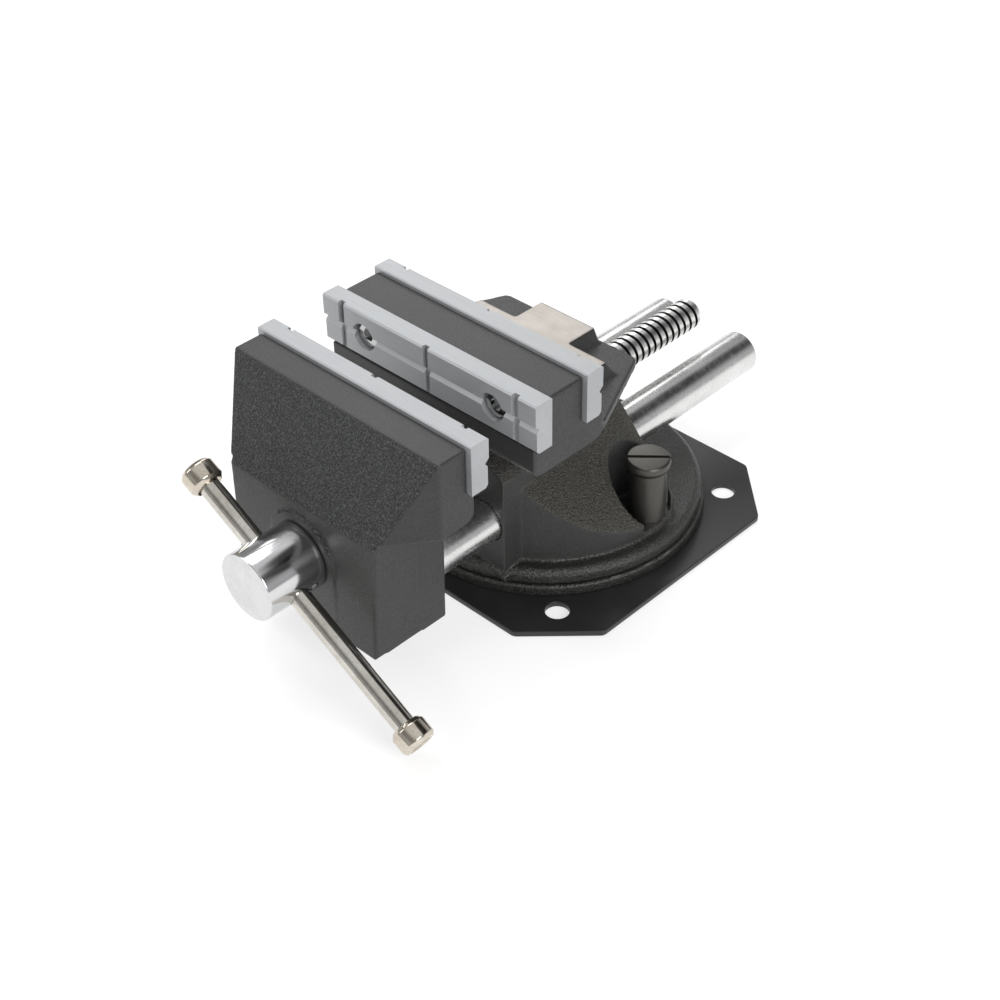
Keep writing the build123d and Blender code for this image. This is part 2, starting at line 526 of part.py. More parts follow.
for label, c, sgn in (("handle_cap_upper", -HANDLE_UP, -1), ("handle_cap_lower", HANDLE_DOWN, 1)):
    with BuildPart() as cap:
        with BuildSketch(hp.offset(c - CAP_L / 2)):
            Circle(CAP_R)
        extrude(amount=CAP_L)
        chamfer(cap.edges().filter_by(GeomType.CIRCLE), length=1.4)
        with BuildSketch(hp.offset(c - CAP_L / 2)):
            Circle(SPIG)
        extrude(amount=CAP_L, mode=Mode.SUBTRACT)
    cap.part.label = label
    export_step(cap.part, "parts/" + label + ".step")
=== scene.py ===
import bpy, bmesh, math
import numpy as np
from mathutils import Vector, Matrix


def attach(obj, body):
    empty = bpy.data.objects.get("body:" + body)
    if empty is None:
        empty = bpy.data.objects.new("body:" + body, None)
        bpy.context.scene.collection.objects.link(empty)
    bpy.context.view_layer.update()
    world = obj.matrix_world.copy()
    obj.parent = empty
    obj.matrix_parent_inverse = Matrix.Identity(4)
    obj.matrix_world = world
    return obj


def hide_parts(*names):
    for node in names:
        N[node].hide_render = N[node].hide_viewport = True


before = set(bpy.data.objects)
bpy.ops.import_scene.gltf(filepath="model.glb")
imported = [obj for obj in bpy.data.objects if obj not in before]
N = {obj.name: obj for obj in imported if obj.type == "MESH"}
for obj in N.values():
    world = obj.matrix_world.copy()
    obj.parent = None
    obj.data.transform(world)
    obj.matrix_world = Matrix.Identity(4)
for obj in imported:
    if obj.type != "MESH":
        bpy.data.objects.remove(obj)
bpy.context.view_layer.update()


MM = 0.001
scn = bpy.context.scene

# ------------------------------------------------------------------ camera, light, floor
az, el, roll = math.radians(44.559), math.radians(38.207), math.radians(-1.036)
back = Vector((math.sin(az) * math.cos(el), -math.cos(az) * math.cos(el), math.sin(el)))
r0 = Vector((math.cos(az), math.sin(az), 0))
u0 = back.cross(r0)
right = math.cos(roll) * r0 + math.sin(roll) * u0
upv = -math.sin(roll) * r0 + math.cos(roll) * u0
cam_d = bpy.data.cameras.new("camera")
cam_d.sensor_width = 36.0
cam_d.lens = 1.817761 * 36.0
cam_d.clip_start = 0.05
cam = bpy.data.objects.new("camera", cam_d)
scn.collection.objects.link(cam)
loc = right * (-20.367 * MM) + upv * (-0.922 * MM) + back * (785.181 * MM)
cam.matrix_world = Matrix(((right.x, upv.x, back.x, loc.x), (right.y, upv.y, back.y, loc.y), (right.z, upv.z, back.z, loc.z), (0, 0, 0, 1)))
scn.camera = cam
scn.view_settings.view_transform = "Standard"


def area(name, pos, target, size, power, color=(1, 1, 1), size_y=None):
    d = bpy.data.lights.new(name, "AREA")
    d.energy = power
    d.color = color
    d.shape = "RECTANGLE"
    d.size = size
    d.size_y = size_y or size
    o = bpy.data.objects.new(name, d)
    o.location = pos
    o.rotation_euler = (Vector(target) - Vector(pos)).to_track_quat("-Z", "Y").to_euler()
    scn.collection.objects.link(o)
    return o


area("key_top", (-0.45, 0.05, 1.15), (0, 0, 0.05), 0.7, 6.1)
area("fill_right", (1.1, -0.35, 0.65), (0, 0, 0.06), 0.6, 8.6)
area("back_left", (-0.9, 0.8, 0.8), (0, 0, 0.06), 0.6, 3.0)
area("front_left", (-0.75, -1.05, 0.75), (0, 0, 0.05), 0.6, 4.2)

# studio surround: pale all round, with one soft black flag high at the back right for the steel to mirror
w = bpy.data.worlds.new("studio")
scn.world = w
w.use_nodes = True
nt = w.node_tree
bg = nt.nodes["Background"]
tc = nt.nodes.new("ShaderNodeTexCoord")
sep = nt.nodes.new("ShaderNodeSeparateXYZ")
ramp = nt.nodes.new("ShaderNodeValToRGB")
ramp.color_ramp.elements[0].position = 0.0
ramp.color_ramp.elements[0].color = (0.52, 0.52, 0.53, 1)
e = ramp.color_ramp.elements[1]
e.position = 0.9
e.color = (0.95, 0.95, 0.96, 1)
for pos, g in ((0.25, 0.62), (0.45, 0.34), (0.65, 0.38), (0.8, 0.85)):
    e = ramp.color_ramp.elements.new(pos)
    e.color = (g, g, g * 1.01, 1)
nt.links.new(tc.outputs["Generated"], sep.inputs[0])
nt.links.new(sep.outputs["Z"], ramp.inputs[0])


def world_flag(direction, inner, outer, depth):
    """1 outside the flag, 1 - depth inside, as a node output."""
    d = Vector(direction).normalized()
    dot = nt.nodes.new("ShaderNodeVectorMath")
    dot.operation = "DOT_PRODUCT"
    dot.inputs[1].default_value = d
    nt.links.new(tc.outputs["Generated"], dot.inputs[0])
    mr = nt.nodes.new("ShaderNodeMapRange")
    mr.interpolation_type = "SMOOTHSTEP"
    mr.inputs["From Min"].default_value = math.cos(math.radians(outer))
    mr.inputs["From Max"].default_value = math.cos(math.radians(inner))
    mr.inputs["To Min"].default_value = 1.0
    mr.inputs["To Max"].default_value = 1.0 - depth
    nt.links.new(dot.outputs["Value"], mr.inputs["Value"])
    return mr.outputs[0]


def world_mul(a, b):
    n = nt.nodes.new("ShaderNodeVectorMath")
    n.operation = "MULTIPLY"
    nt.links.new(a, n.inputs[0])
    nt.links.new(b, n.inputs[1])
    return n.outputs["Vector"]


sky = world_mul(ramp.outputs[0], world_flag((0.33, 0.62, 0.71), 14, 22, 0.93))
sky = world_mul(sky, world_flag((0.62, 0.50, 0.60), 10, 17, 0.80))
nt.links.new(sky, bg.inputs["Color"])
bg.inputs["Strength"].default_value = 0.85

# ------------------------------------------------------------------ node helpers


def mat(name):
    m = bpy.data.materials.new(name)
    m.use_nodes = True
    b = m.node_tree.nodes["Principled BSDF"]
    return m, m.node_tree, b


def setv(b, **kw):
    for k, v in kw.items():
        s = b.inputs[k.replace("_", " ")]
        s.default_value = v


def coords(nt, scale=(1, 1, 1)):
    tc = nt.nodes.new("ShaderNodeTexCoord")
    mp = nt.nodes.new("ShaderNodeMapping")
    mp.inputs["Scale"].default_value = scale
    nt.links.new(tc.outputs["Object"], mp.inputs["Vector"])
    return mp.outputs["Vector"]


def noise(nt, vec, scale, detail=4, rough=0.55, kind="noise"):
    n = nt.nodes.new("ShaderNodeTexNoise")
    n.inputs["Scale"].default_value = scale
    n.inputs["Detail"].default_value = detail
    n.inputs["Roughness"].default_value = rough
    nt.links.new(vec, n.inputs["Vector"])
    return n.outputs["Fac"]


def voro(nt, vec, scale):
    n = nt.nodes.new("ShaderNodeTexVoronoi")
    n.feature = "SMOOTH_F1"
    n.inputs["Scale"].default_value = scale
    nt.links.new(vec, n.inputs["Vector"])
    return n.outputs["Distance"]


def math_n(nt, op, a, b=None, clamp=False):
    n = nt.nodes.new("ShaderNodeMath")
    n.operation = op
    n.use_clamp = clamp
    for i, v in enumerate((a, b)):
        if v is None:
            continue
        if isinstance(v, (int, float)):
            n.inputs[i].default_value = v
        else:
            nt.links.new(v, n.inputs[i])
    return n.outputs[0]


def ramp_n(nt, fac, stops):
    r = nt.nodes.new("ShaderNodeValToRGB")
    r.color_ramp.elements[0].position, r.color_ramp.elements[0].color = stops[0][0], (*stops[0][1], 1)
    r.color_ramp.elements[1].position, r.color_ramp.elements[1].color = stops[-1][0], (*stops[-1][1], 1)
    for p, c in stops[1:-1]:
        e = r.color_ramp.elements.new(p)
        e.color = (*c, 1)
    nt.links.new(fac, r.inputs[0])
    return r.outputs[0]


def mapr(nt, fac, a, b, c, d):
    n = nt.nodes.new("ShaderNodeMapRange")
    n.inputs["From Min"].default_value = a
    n.inputs["From Max"].default_value = b
    n.inputs["To Min"].default_value = c
    n.inputs["To Max"].default_value = d
    nt.links.new(fac, n.inputs["Value"])
    return n.outputs[0]


def mixc(nt, fac, a, b):
    n = nt.nodes.new("ShaderNodeMix")
    n.data_type = "RGBA"
    for i, v in ((0, fac), (6, a), (7, b)):
        if isinstance(v, (int, float)):
            n.inputs[i].default_value = v
        elif isinstance(v, tuple):
            n.inputs[i].default_value = (*v, 1)
        else:
            nt.links.new(v, n.inputs[i])
    return n.outputs[2]


def bump(nt, b, height, strength, distance):
    n = nt.nodes.new("ShaderNodeBump")
    n.inputs["Strength"].default_value = strength
    n.inputs["Distance"].default_value = distance
    nt.links.new(height, n.inputs["Height"])
    nt.links.new(n.outputs[0], b.inputs["Normal"])


# ------------------------------------------------------------------ materials
def m_cast(name, grain=1.0, base=(0.030, 0.030, 0.031), speck=0.5, spec=0.5, fine=1750, edge=0.5, rough=(0.50, 0.38), hi=3.2):
    """Powder coat over a sand casting: fine pebbled grain, faint mottling, edges lightened as a painted highlight."""
    m, nt, b = mat(name)
    v = coords(nt)
    g1 = noise(nt, v, fine, 2, 0.55)
    g2 = voro(nt, v, fine * 0.62)
    g3 = noise(nt, v, 210, 4, 0.6)
    big = noise(nt, v, 28, 3, 0.5)
    h = math_n(nt, "ADD", math_n(nt, "MULTIPLY", g1, 0.8), math_n(nt, "MULTIPLY", g2, 0.5))
    h = math_n(nt, "ADD", h, math_n(nt, "MULTIPLY", g3, 0.3))
    bump(nt, b, h, 1.0, 0.00034 * grain)
    col = ramp_n(nt, math_n(nt, "ADD", math_n(nt, "MULTIPLY", big, 0.6), math_n(nt, "MULTIPLY", g3, 0.4)),
                 [(0.25, tuple(c * 0.80 for c in base)), (0.5, base), (0.8, tuple(c * 1.3 for c in base))])
    # painted glints and painted shade: bright and dark specks keyed to the grain noise stand in for light catching the
    # pebbled grain
    sp = mapr(nt, g1, 0.51, 0.62, 0.0, speck)
    col = mixc(nt, sp, col, tuple(c * hi for c in base))
    dk = mapr(nt, g1, 0.50, 0.40, 0.0, speck)
    col = mixc(nt, dk, col, tuple(c * 0.25 for c in base))
    # painted highlight: edges found by pointiness are mixed towards a light grey, standing in for edge glint
    geo = nt.nodes.new("ShaderNodeNewGeometry")
    painted_edge_highlight = mapr(nt, geo.outputs["Pointiness"], 0.535, 0.60, 0.0, edge)
    col = mixc(nt, painted_edge_highlight, col, (0.16, 0.158, 0.150))
    nt.links.new(col, b.inputs["Base Color"])
    nt.links.new(mapr(nt, g1, 0.3, 0.7, rough[0], rough[1]), b.inputs["Roughness"])
    b.inputs["Specular IOR Level"].default_value = spec
    return m


def m_pad(name):
    m, nt, b = mat(name)
    v = coords(nt)
    n1 = noise(nt, v, 45, 3, 0.5)
    n2 = noise(nt, v, 600, 2, 0.6)
    streak = noise(nt, coords(nt, (12, 300, 300)), 3.5, 3, 0.55)
    col = ramp_n(nt, math_n(nt, "ADD", math_n(nt, "MULTIPLY", n1, 0.6), math_n(nt, "MULTIPLY", streak, 0.4)),
                 [(0.3, (0.315, 0.325, 0.335)), (0.55, (0.365, 0.375, 0.385)), (0.8, (0.41, 0.42, 0.43))])
    nt.links.new(col, b.inputs["Base Color"])
    setv(b, Metallic=0.25)
    nt.links.new(mapr(nt, n1, 0.3, 0.7, 0.36, 0.46), b.inputs["Roughness"])
    bump(nt, b, math_n(nt, "ADD", math_n(nt, "MULTIPLY", n2, 0.4), streak), 0.12, 0.0001)
    return m


def m_steel(name, base=(0.72, 0.72, 0.71), rough=(0.10, 0.22), grain_scale=(700, 700, 12), strength=0.12, metallic=1.0, pit=0.0, tint=None):
    """Polished or turned steel: fine grain across the axis, faint blotches, small pits."""
    m, nt, b = mat(name)
    v = coords(nt, grain_scale)
    g = noise(nt, v, 1.0, 4, 0.65)
    o = coords(nt)
    bl = noise(nt, o, 60, 4, 0.6)
    fine = noise(nt, o, 900, 2, 0.6)
    setv(b, Metallic=metallic)
    t = tint or tuple(c * 0.82 for c in base)
    col = ramp_n(nt, math_n(nt, "ADD", math_n(nt, "MULTIPLY", bl, 0.6), math_n(nt, "MULTIPLY", g, 0.4)), [(0.3, t), (0.6, base)])
    if pit:
        sp = mapr(nt, fine, 0.64, 0.70, 0.0, pit)
        col = mixc(nt, sp, col, tuple(c * 0.3 for c in base))
    nt.links.new(col, b.inputs["Base Color"])
    nt.links.new(mapr(nt, math_n(nt, "ADD", math_n(nt, "MULTIPLY", g, 0.5), math_n(nt, "MULTIPLY", bl, 0.5)), 0.3, 0.7, rough[0], rough[1]), b.inputs["Roughness"])
    bump(nt, b, math_n(nt, "ADD", g, math_n(nt, "MULTIPLY", fine, 0.5)), strength, 0.00005)
    return m


def m_plate(name):
    m, nt, b = mat(name)
    v = coords(nt)
    n1 = noise(nt, v, 40, 4, 0.5)
    n2 = noise(nt, v, 1500, 2, 0.5)
    col = ramp_n(nt, n1, [(0.3, (0.012, 0.012, 0.0125)), (0.7, (0.020, 0.020, 0.021))])
    nt.links.new(col, b.inputs["Base Color"])
    nt.links.new(mapr(nt, n1, 0.3, 0.7, 0.30, 0.40), b.inputs["Roughness"])
    bump(nt, b, n2, 0.12, 0.00008)
    return m


def m_anvil(name):
    """Milled bare iron with faint cutter lines."""
    m, nt, b = mat(name)
    g = noise(nt, coords(nt, (60, 900, 60)), 1.0, 4, 0.6)
    o = coords(nt)
    bl = noise(nt, o, 90, 4, 0.6)
    setv(b, Metallic=0.85)
    col = ramp_n(nt, math_n(nt, "ADD", math_n(nt, "MULTIPLY", bl, 0.5), math_n(nt, "MULTIPLY", g, 0.5)),
                 [(0.3, (0.33, 0.305, 0.28)), (0.55, (0.43, 0.40, 0.37)), (0.75, (0.52, 0.49, 0.455))])
    nt.links.new(col, b.inputs["Base Color"])
    nt.links.new(mapr(nt, g, 0.3, 0.7, 0.38, 0.55), b.inputs["Roughness"])
    bump(nt, b, g, 0.15, 0.0001)
    return m


CAST = m_cast("cast_coat", 4.6, (0.0118, 0.0123, 0.0125), 1.0, 0.50, 1500, hi=4.6)
CAST_BODY = m_cast("cast_coat_body", 3.6, (0.043, 0.0412, 0.0338), 0.50, 0.50, 1650, hi=2.4)
CAST_RIM = m_cast("cast_coat_rim", 1.5, (0.0165, 0.0162, 0.0145), 0.7, 0.60, 1500, rough=(0.40, 0.27))
CAST_SMOOTH = m_cast("cast_coat_smooth", 0.14, (0.0275, 0.0275, 0.0268), 0.14, 0.38, 1500)
PAD = m_pad("pad_paint")
CHROME = m_steel("bar_steel", (0.76, 0.757, 0.75), (0.20, 0.32), (420, 420, 420), 0.16, pit=0.30)
HUBM = m_steel("hub_steel", (0.655, 0.655, 0.66), (0.09, 0.15), (900, 16, 900), 0.06)
PINM = m_steel("pin_steel", (0.93, 0.93, 0.93), (0.36, 0.46), (700, 700, 700), 0.05)
ROD = m_steel("rod_steel", (0.63, 0.61, 0.565), (0.06, 0.15), (500, 500, 500), 0.10, pit=0.30, tint=(0.44, 0.415, 0.36))
CAPM = m_steel("cap_nickel", (0.64, 0.59, 0.51), (0.07, 0.16), (600, 600, 600), 0.10, pit=0.3, tint=(0.46, 0.40, 0.32))
DARK = m_steel("dark_steel", (0.092, 0.089, 0.081), (0.28, 0.40), (60, 60, 1400), 0.20, metallic=0.85, pit=0.25)
GROOVE_SHADE = m_steel("thread_groove_shade", (0.12, 0.112, 0.10), (0.30, 0.45), (600, 600, 600), 0.12)
SCREWM = m_steel("screw_steel", (0.86, 0.86, 0.85), (0.26, 0.38), (700, 700, 700), 0.10)
ZINC = m_steel("zinc_screw", (0.50, 0.50, 0.50), (0.10, 0.18), (700, 700, 700), 0.10)
BRONZE = m_steel("nut_bronze", (0.48, 0.33, 0.15), (0.28, 0.40), (500, 500, 500), 0.1)
PLATE = m_plate("plate_enamel")
ANVIL = m_anvil("anvil_bare")

fm, fnt, fb = mat("floor_paper")
setv(fb, Roughness=0.9)
fb.inputs["Base Color"].default_value = (0.42, 0.42, 0.42, 1)
fb.inputs["Emission Color"].default_value = (1, 1, 1, 1)
fb.inputs["Emission Strength"].default_value = 0.64
fme = bpy.data.meshes.new("floor")
fme.from_pydata([(-6, -6, 0), (6, -6, 0), (6, 6, 0), (-6, 6, 0)], [], [(0, 1, 2, 3)])
floor = bpy.data.objects.new("floor", fme)
floor.location = (0, 0, -0.0002)
scn.collection.objects.link(floor)
floor.data.materials.append(fm)


# ------------------------------------------------------------------ mesh helpers
def link(name, me, material, body, slot, *nodes, sharp=35):
    o = bpy.data.objects.new(name, me)
    scn.collection.objects.link(o)
    me.materials.clear()
    for mm in (material if isinstance(material, (list, tuple)) else [material]):
        me.materials.append(mm)
    me.shade_smooth()
    if sharp:
        me.set_sharp_from_angle(angle=math.radians(sharp))
    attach(o, body)
    if nodes:
        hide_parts(*nodes)
    return o


def lathe_mesh(name, prof, origin, axis, seg=160, closed=False):
    """prof: (radius mm, distance along axis mm). Revolved about axis through origin (mm)."""
    ax = Vector(axis).normalized()
    t = Vector((0, 0, 1)) if abs(ax.z) < 0.9 else Vector((1, 0, 0))
    e1 = ax.cross(t).normalized()
    e2 = ax.cross(e1).normalized()
    og = Vector(origin)
    bm = bmesh.new()
    rings = []
    for r, d in prof:
        c = og + ax * d
        if r < 1e-6:
            rings.append([bm.verts.new(c * MM)])
        else:
            rings.append([bm.verts.new((c + (e1 * math.cos(2 * math.pi * k / seg) + e2 * math.sin(2 * math.pi * k / seg)) * r) * MM) for k in range(seg)])
    pairs = list(zip(rings[:-1], rings[1:]))
    if closed:
        pairs.append((rings[-1], rings[0]))
    for A, B in pairs:
        if len(A) == 1 and len(B) == 1:
            continue
        for k in range(seg):
            k2 = (k + 1) % seg
            if len(A) == 1:
                bm.faces.new((A[0], B[k], B[k2]))
            elif len(B) == 1:
                bm.faces.new((A[k], B[0], A[k2]))
            else:
                bm.faces.new((A[k], B[k], B[k2], A[k2]))
    bmesh.ops.recalc_face_normals(bm, faces=bm.faces)
    me = bpy.data.meshes.new(name)
    bm.to_mesh(me)
    bm.free()
    return me


def rounded(prof, rad, n=4):
    """Rounds the inner corners of an open (r, d) profile by rad mm."""
    out = [prof[0]]
    for a, p, c in zip(prof[:-2], prof[1:-1], prof[2:]):
        A, P, C = Vector(a), Vector(p), Vector(c)
        la, lc = (A - P).length, (C - P).length
        k = min(rad, 0.45 * la, 0.45 * lc)
        if k < 0.02:
            out.append(p)
            continue
        s, t = P + (A - P).normalized() * k, P + (C - P).normalized() * k
        for i in range(n + 1):
            u = i / n
            q = s * (1 - u) ** 2 + P * 2 * u * (1 - u) + t * u ** 2
            out.append((q.x, q.y))
    out.append(prof[-1])
    return out


def evaluated(o):
    dg = bpy.context.evaluated_depsgraph_get()
    dg.update()
    return bpy.data.meshes.new_from_object(o.evaluated_get(dg))


def boolean(me, cutters):
    """Cuts the cutter meshes out of me."""
    a = bpy.data.objects.new("tmp_a", me)
    scn.collection.objects.link(a)
    cs = []
    for i, c in enumerate(cutters):
        o = bpy.data.objects.new("tmp_c%d" % i, c)
        scn.collection.objects.link(o)
        md = a.modifiers.new("b%d" % i, "BOOLEAN")
        md.object = o
        md.operation = "DIFFERENCE"
        md.solver = "EXACT"
        cs.append(o)
    out = evaluated(a)
    for o in [a] + cs:
        bpy.data.objects.remove(o)
    return out


def remeshed(node, voxel, smooth, cutters=()):
    """A finer copy of a cast CAD node with softly rounded edges."""
    me = N[node].data.copy()
    me.name = node + "_m"
    o = bpy.data.objects.new("tmp_r", me)
    scn.collection.objects.link(o)
    md = o.modifiers.new("r", "REMESH")
    md.mode = "VOXEL"
    md.voxel_size = voxel * MM
    md.use_smooth_shade = True
    if smooth:
        sm = o.modifiers.new("s", "SMOOTH")
        sm.factor = 0.5
        sm.iterations = smooth
    out = evaluated(o)
    bpy.data.objects.remove(o)
    return out


def get_co(me):
    co = np.zeros(len(me.vertices) * 3, np.float32)
    me.vertices.foreach_get("co", co)
    return co.reshape(-1, 3) / MM


def set_co(me, co):
    me.vertices.foreach_set("co", (co * MM).astype(np.float32).ravel())
    me.update()


def open_bore(co, x, z, rad, keep):
    """Moves vertices inside a round bore along Y out to its radius."""
    dx, dz = co[:, 0] - x, co[:, 2] - z
    r = np.hypot(dx, dz)
    m = (r < rad) & (r > 1e-3) & keep(co)
    f = rad / r[m]
    co[m, 0] = x + dx[m] * f
    co[m, 2] = z + dz[m] * f


# ------------------------------------------------------------------ castings
VOX = 0.6
SM = 6

me = remeshed("front_jaw", VOX, SM)
co = get_co(me)
for sx in (1, -1):
    open_bore(co, sx * 20.7, 34.6, 9.75, lambda c: c[:, 1] > -101.5)
set_co(me, co)
jaw = link("front_jaw_casting", me, [CAST_SMOOTH, CAST], "front_jaw", "casting_black", "front_jaw", sharp=0)


def paint_by(me, test):
    c = np.zeros(len(me.polygons) * 3, np.float32)
    n = np.zeros(len(me.polygons) * 3, np.float32)
    me.polygons.foreach_get("center", c)
    me.polygons.foreach_get("normal", n)
    idx = test(c.reshape(-1, 3) / MM, n.reshape(-1, 3)).astype(np.int32)
    me.polygons.foreach_set("material_index", idx)
    me.update()


# the chest slope keeps its sand-cast grain, the flat sides are smoother
paint_by(me, lambda c, n: np.where((n[:, 2] > 0.25) & (n[:, 2] < 0.8) & (n[:, 1] < -0.4), 1, 0))

me = remeshed("body_casting", VOX, SM)
co = get_co(me)
for sx in (1, -1):
    open_bore(co, sx * 20.7, 34.6, 9.75, lambda c: (c[:, 1] < -57.0) | (c[:, 1] > 14.0))
open_bore(co, 0, 51.3, 11.1, lambda c: c[:, 1] > 5)
# true the turned rim of the flange
r = np.hypot(co[:, 0], co[:, 1])
m = (r > 61.8) & (co[:, 2] < 14.6) & (co[:, 2] > 7.0)
cz, cr, rr = 14.0 - 3.4, 65.8 - 3.4, 3.4
dr, dz = r[m] - cr, co[m, 2] - cz
out_arc = (dr > 0) & (dz > 0)
L = np.hypot(dr, dz)
nr, nz = r[m].copy(), co[m, 2].copy()
nr[out_arc] = cr + dr[out_arc] / np.maximum(L[out_arc], 1e-6) * rr
nz[out_arc] = cz + dz[out_arc] / np.maximum(L[out_arc], 1e-6) * rr
f = nr / r[m]
co[m, 0] *= f
co[m, 1] *= f
tmp = co[m]
tmp[:, 2] = nz
co[m] = tmp
set_co(me, co)
body = link("vise_body_casting", me, [CAST_SMOOTH, CAST_BODY, ANVIL, CAST_RIM], "body", "casting_black", "body_casting", sharp=0)


def body_mats(c, n):
    idx = np.zeros(len(c), int)
    slope = (n[:, 2] > 0.2) & (n[:, 2] < 0.93) & (c[:, 2] < 74)
    idx[slope] = 1
    idx[(c[:, 2] < 14.9)] = 3
    idx[(c[:, 2] > 87.0) & (c[:, 2] < 88.1) & (n[:, 2] > 0.97) & (c[:, 1] > -31.0)] = 2
    return idx


paint_by(me, body_mats)

# ------------------------------------------------------------------ base plate, ring
cu = bpy.data.curves.new("plate_curve", "CURVE")
cu.dimensions = "2D"
cu.fill_mode = "BOTH"
cu.extrude = (1.25 - 0.3) * MM
cu.bevel_depth = 0.3 * MM
cu.bevel_resolution = 2
hx, hy, cx, cy = 76.2, 74.2, 25.8, 24.8
cu.offset = -0.3 * MM
corners = [(-hx, -hy + cy), (-hx + cx, -hy), (hx - cx, -hy), (hx, -hy + cy), (hx, hy - cy), (hx - cx, hy), (-hx + cx, hy), (-hx, hy - cy)]
pts = []
for i, p in enumerate(corners):
    a, c = Vector(corners[i - 1]), Vector(corners[(i + 1) % 8])
    P = Vector(p)
    s, t = P + (a - P).normalized() * 1.6, P + (c - P).normalized() * 1.6
    for k in range(6):
        u = k / 5
        q = s * (1 - u) ** 2 + P * 2 * u * (1 - u) + t * u ** 2
        pts.append((q.x, q.y))
sp = cu.splines.new("POLY")
sp.points.add(len(pts) - 1)
for q, p in zip(sp.points, pts):
    q.co = (p[0] * MM, p[1] * MM, 0, 1)
sp.use_cyclic_u = True
holes = [(sx * 54.3, sy * 52.8, 5.0) for sx in (1, -1) for sy in (1, -1)] + [(0, 0, 11.4)]
for x, y, rad in holes:
    sp = cu.splines.new("POLY")
    sp.points.add(71)
    for k, q in enumerate(sp.points):
        a = -2 * math.pi * k / 72
        q.co = ((x + rad * math.cos(a)) * MM, (y + rad * math.sin(a)) * MM, 0, 1)
    sp.use_cyclic_u = True
co_o = bpy.data.objects.new("plate_tmp", cu)
co_o.location = (0, 0, 1.25 * MM)
scn.collection.objects.link(co_o)
me = evaluated(co_o)
me.transform(Matrix.Translation((0, 0, 1.25 * MM)))
bpy.data.objects.remove(co_o)
plate = link("base_plate_steel", me, PLATE, "base", "base_black", "base_plate", sharp=40)

prof = rounded([(59.4, 2.5), (67.0, 2.5), (67.0, 6.4), (66.2, 7.2), (55.8, 7.2), (55.8, 5.3), (59.4, 5.3), (59.4, 2.5)], 0.6)
ring = link("base_ring_turned", lathe_mesh("base_ring", prof, (0, 0, 0), (0, 0, 1), 240), CAST_RIM, "base", "casting_black", "swivel_base_ring", sharp=50)

# ------------------------------------------------------------------ guide bars, hub, handle
for side, sx in (("right", 1), ("left", -1)):
    prof = rounded([(0, -128), (9.5, -128), (9.5, 104), (0, 104)], 0.9, 5)
    link("guide_bar_polished_" + side, lathe_mesh("bar", prof, (sx * 20.7, 0, 34.6), (0, 1, 0), 160), CHROME, "front_jaw", "polished_steel", "guide_bar_" + side, sharp=60)

tilt = math.radians(28.7)
HD = Vector((math.cos(tilt), 0, -math.sin(tilt)))
hc = Vector((0, -147.0, 51.3))
prof = rounded([(0, -161.8), (14.0, -161.8), (14.0, -135.3), (7.0, -135.3), (7.0, -150.0), (0, -150.0)], 0.7, 4)
cut = lathe_mesh("c", [(0, -30), (4.45, -30), (4.45, 30), (0, 30)], hc, HD, 96)
pinax = Vector((math.cos(math.radians(20)), 0, -math.sin(math.radians(20))))
pin_cut = lathe_mesh("c2", [(0, -15.0), (1.75, -15.0), (1.75, 15.0), (0, 15.0)], (0, -140.8, 51.3), pinax, 48)
hub_me = boolean(lathe_mesh("hub", prof, (0, 0, 51.3), (0, 1, 0), 200), [cut, pin_cut])
hub = link("screw_hub_turned", hub_me, HUBM, "screw", "polished_steel", "screw_hub", sharp=40)

rod_me = lathe_mesh("rod", [(0, -45.5), (4.25, -45.5), (4.25, 79.7), (0, 79.7)], hc, HD, 96)
link("handle_rod", rod_me, ROD, "handle", "bright_steel", "handle_bar", sharp=50)
for label, c, sg in (("upper", -45.5, -1), ("lower", 79.7, 1)):
    h = 4.6
    prof = [(0, -h + 1.0), (4.26, -h + 1.0), (4.9, -h + 0.7), (5.2, -h), (5.7, -h), (7.1, -h + 1.7), (7.1, h - 1.5), (6.0, h), (4.9, h), (4.6, h - 0.6), (0, h - 0.6)]
    prof = rounded([(rr, c + sg * dd) for rr, dd in prof], 0.30, 3)
    link("handle_end_" + label, lathe_mesh("cap", prof, hc, HD, 120), CAPM, "handle", "nickel_caps", "handle_cap_" + label, sharp=35)


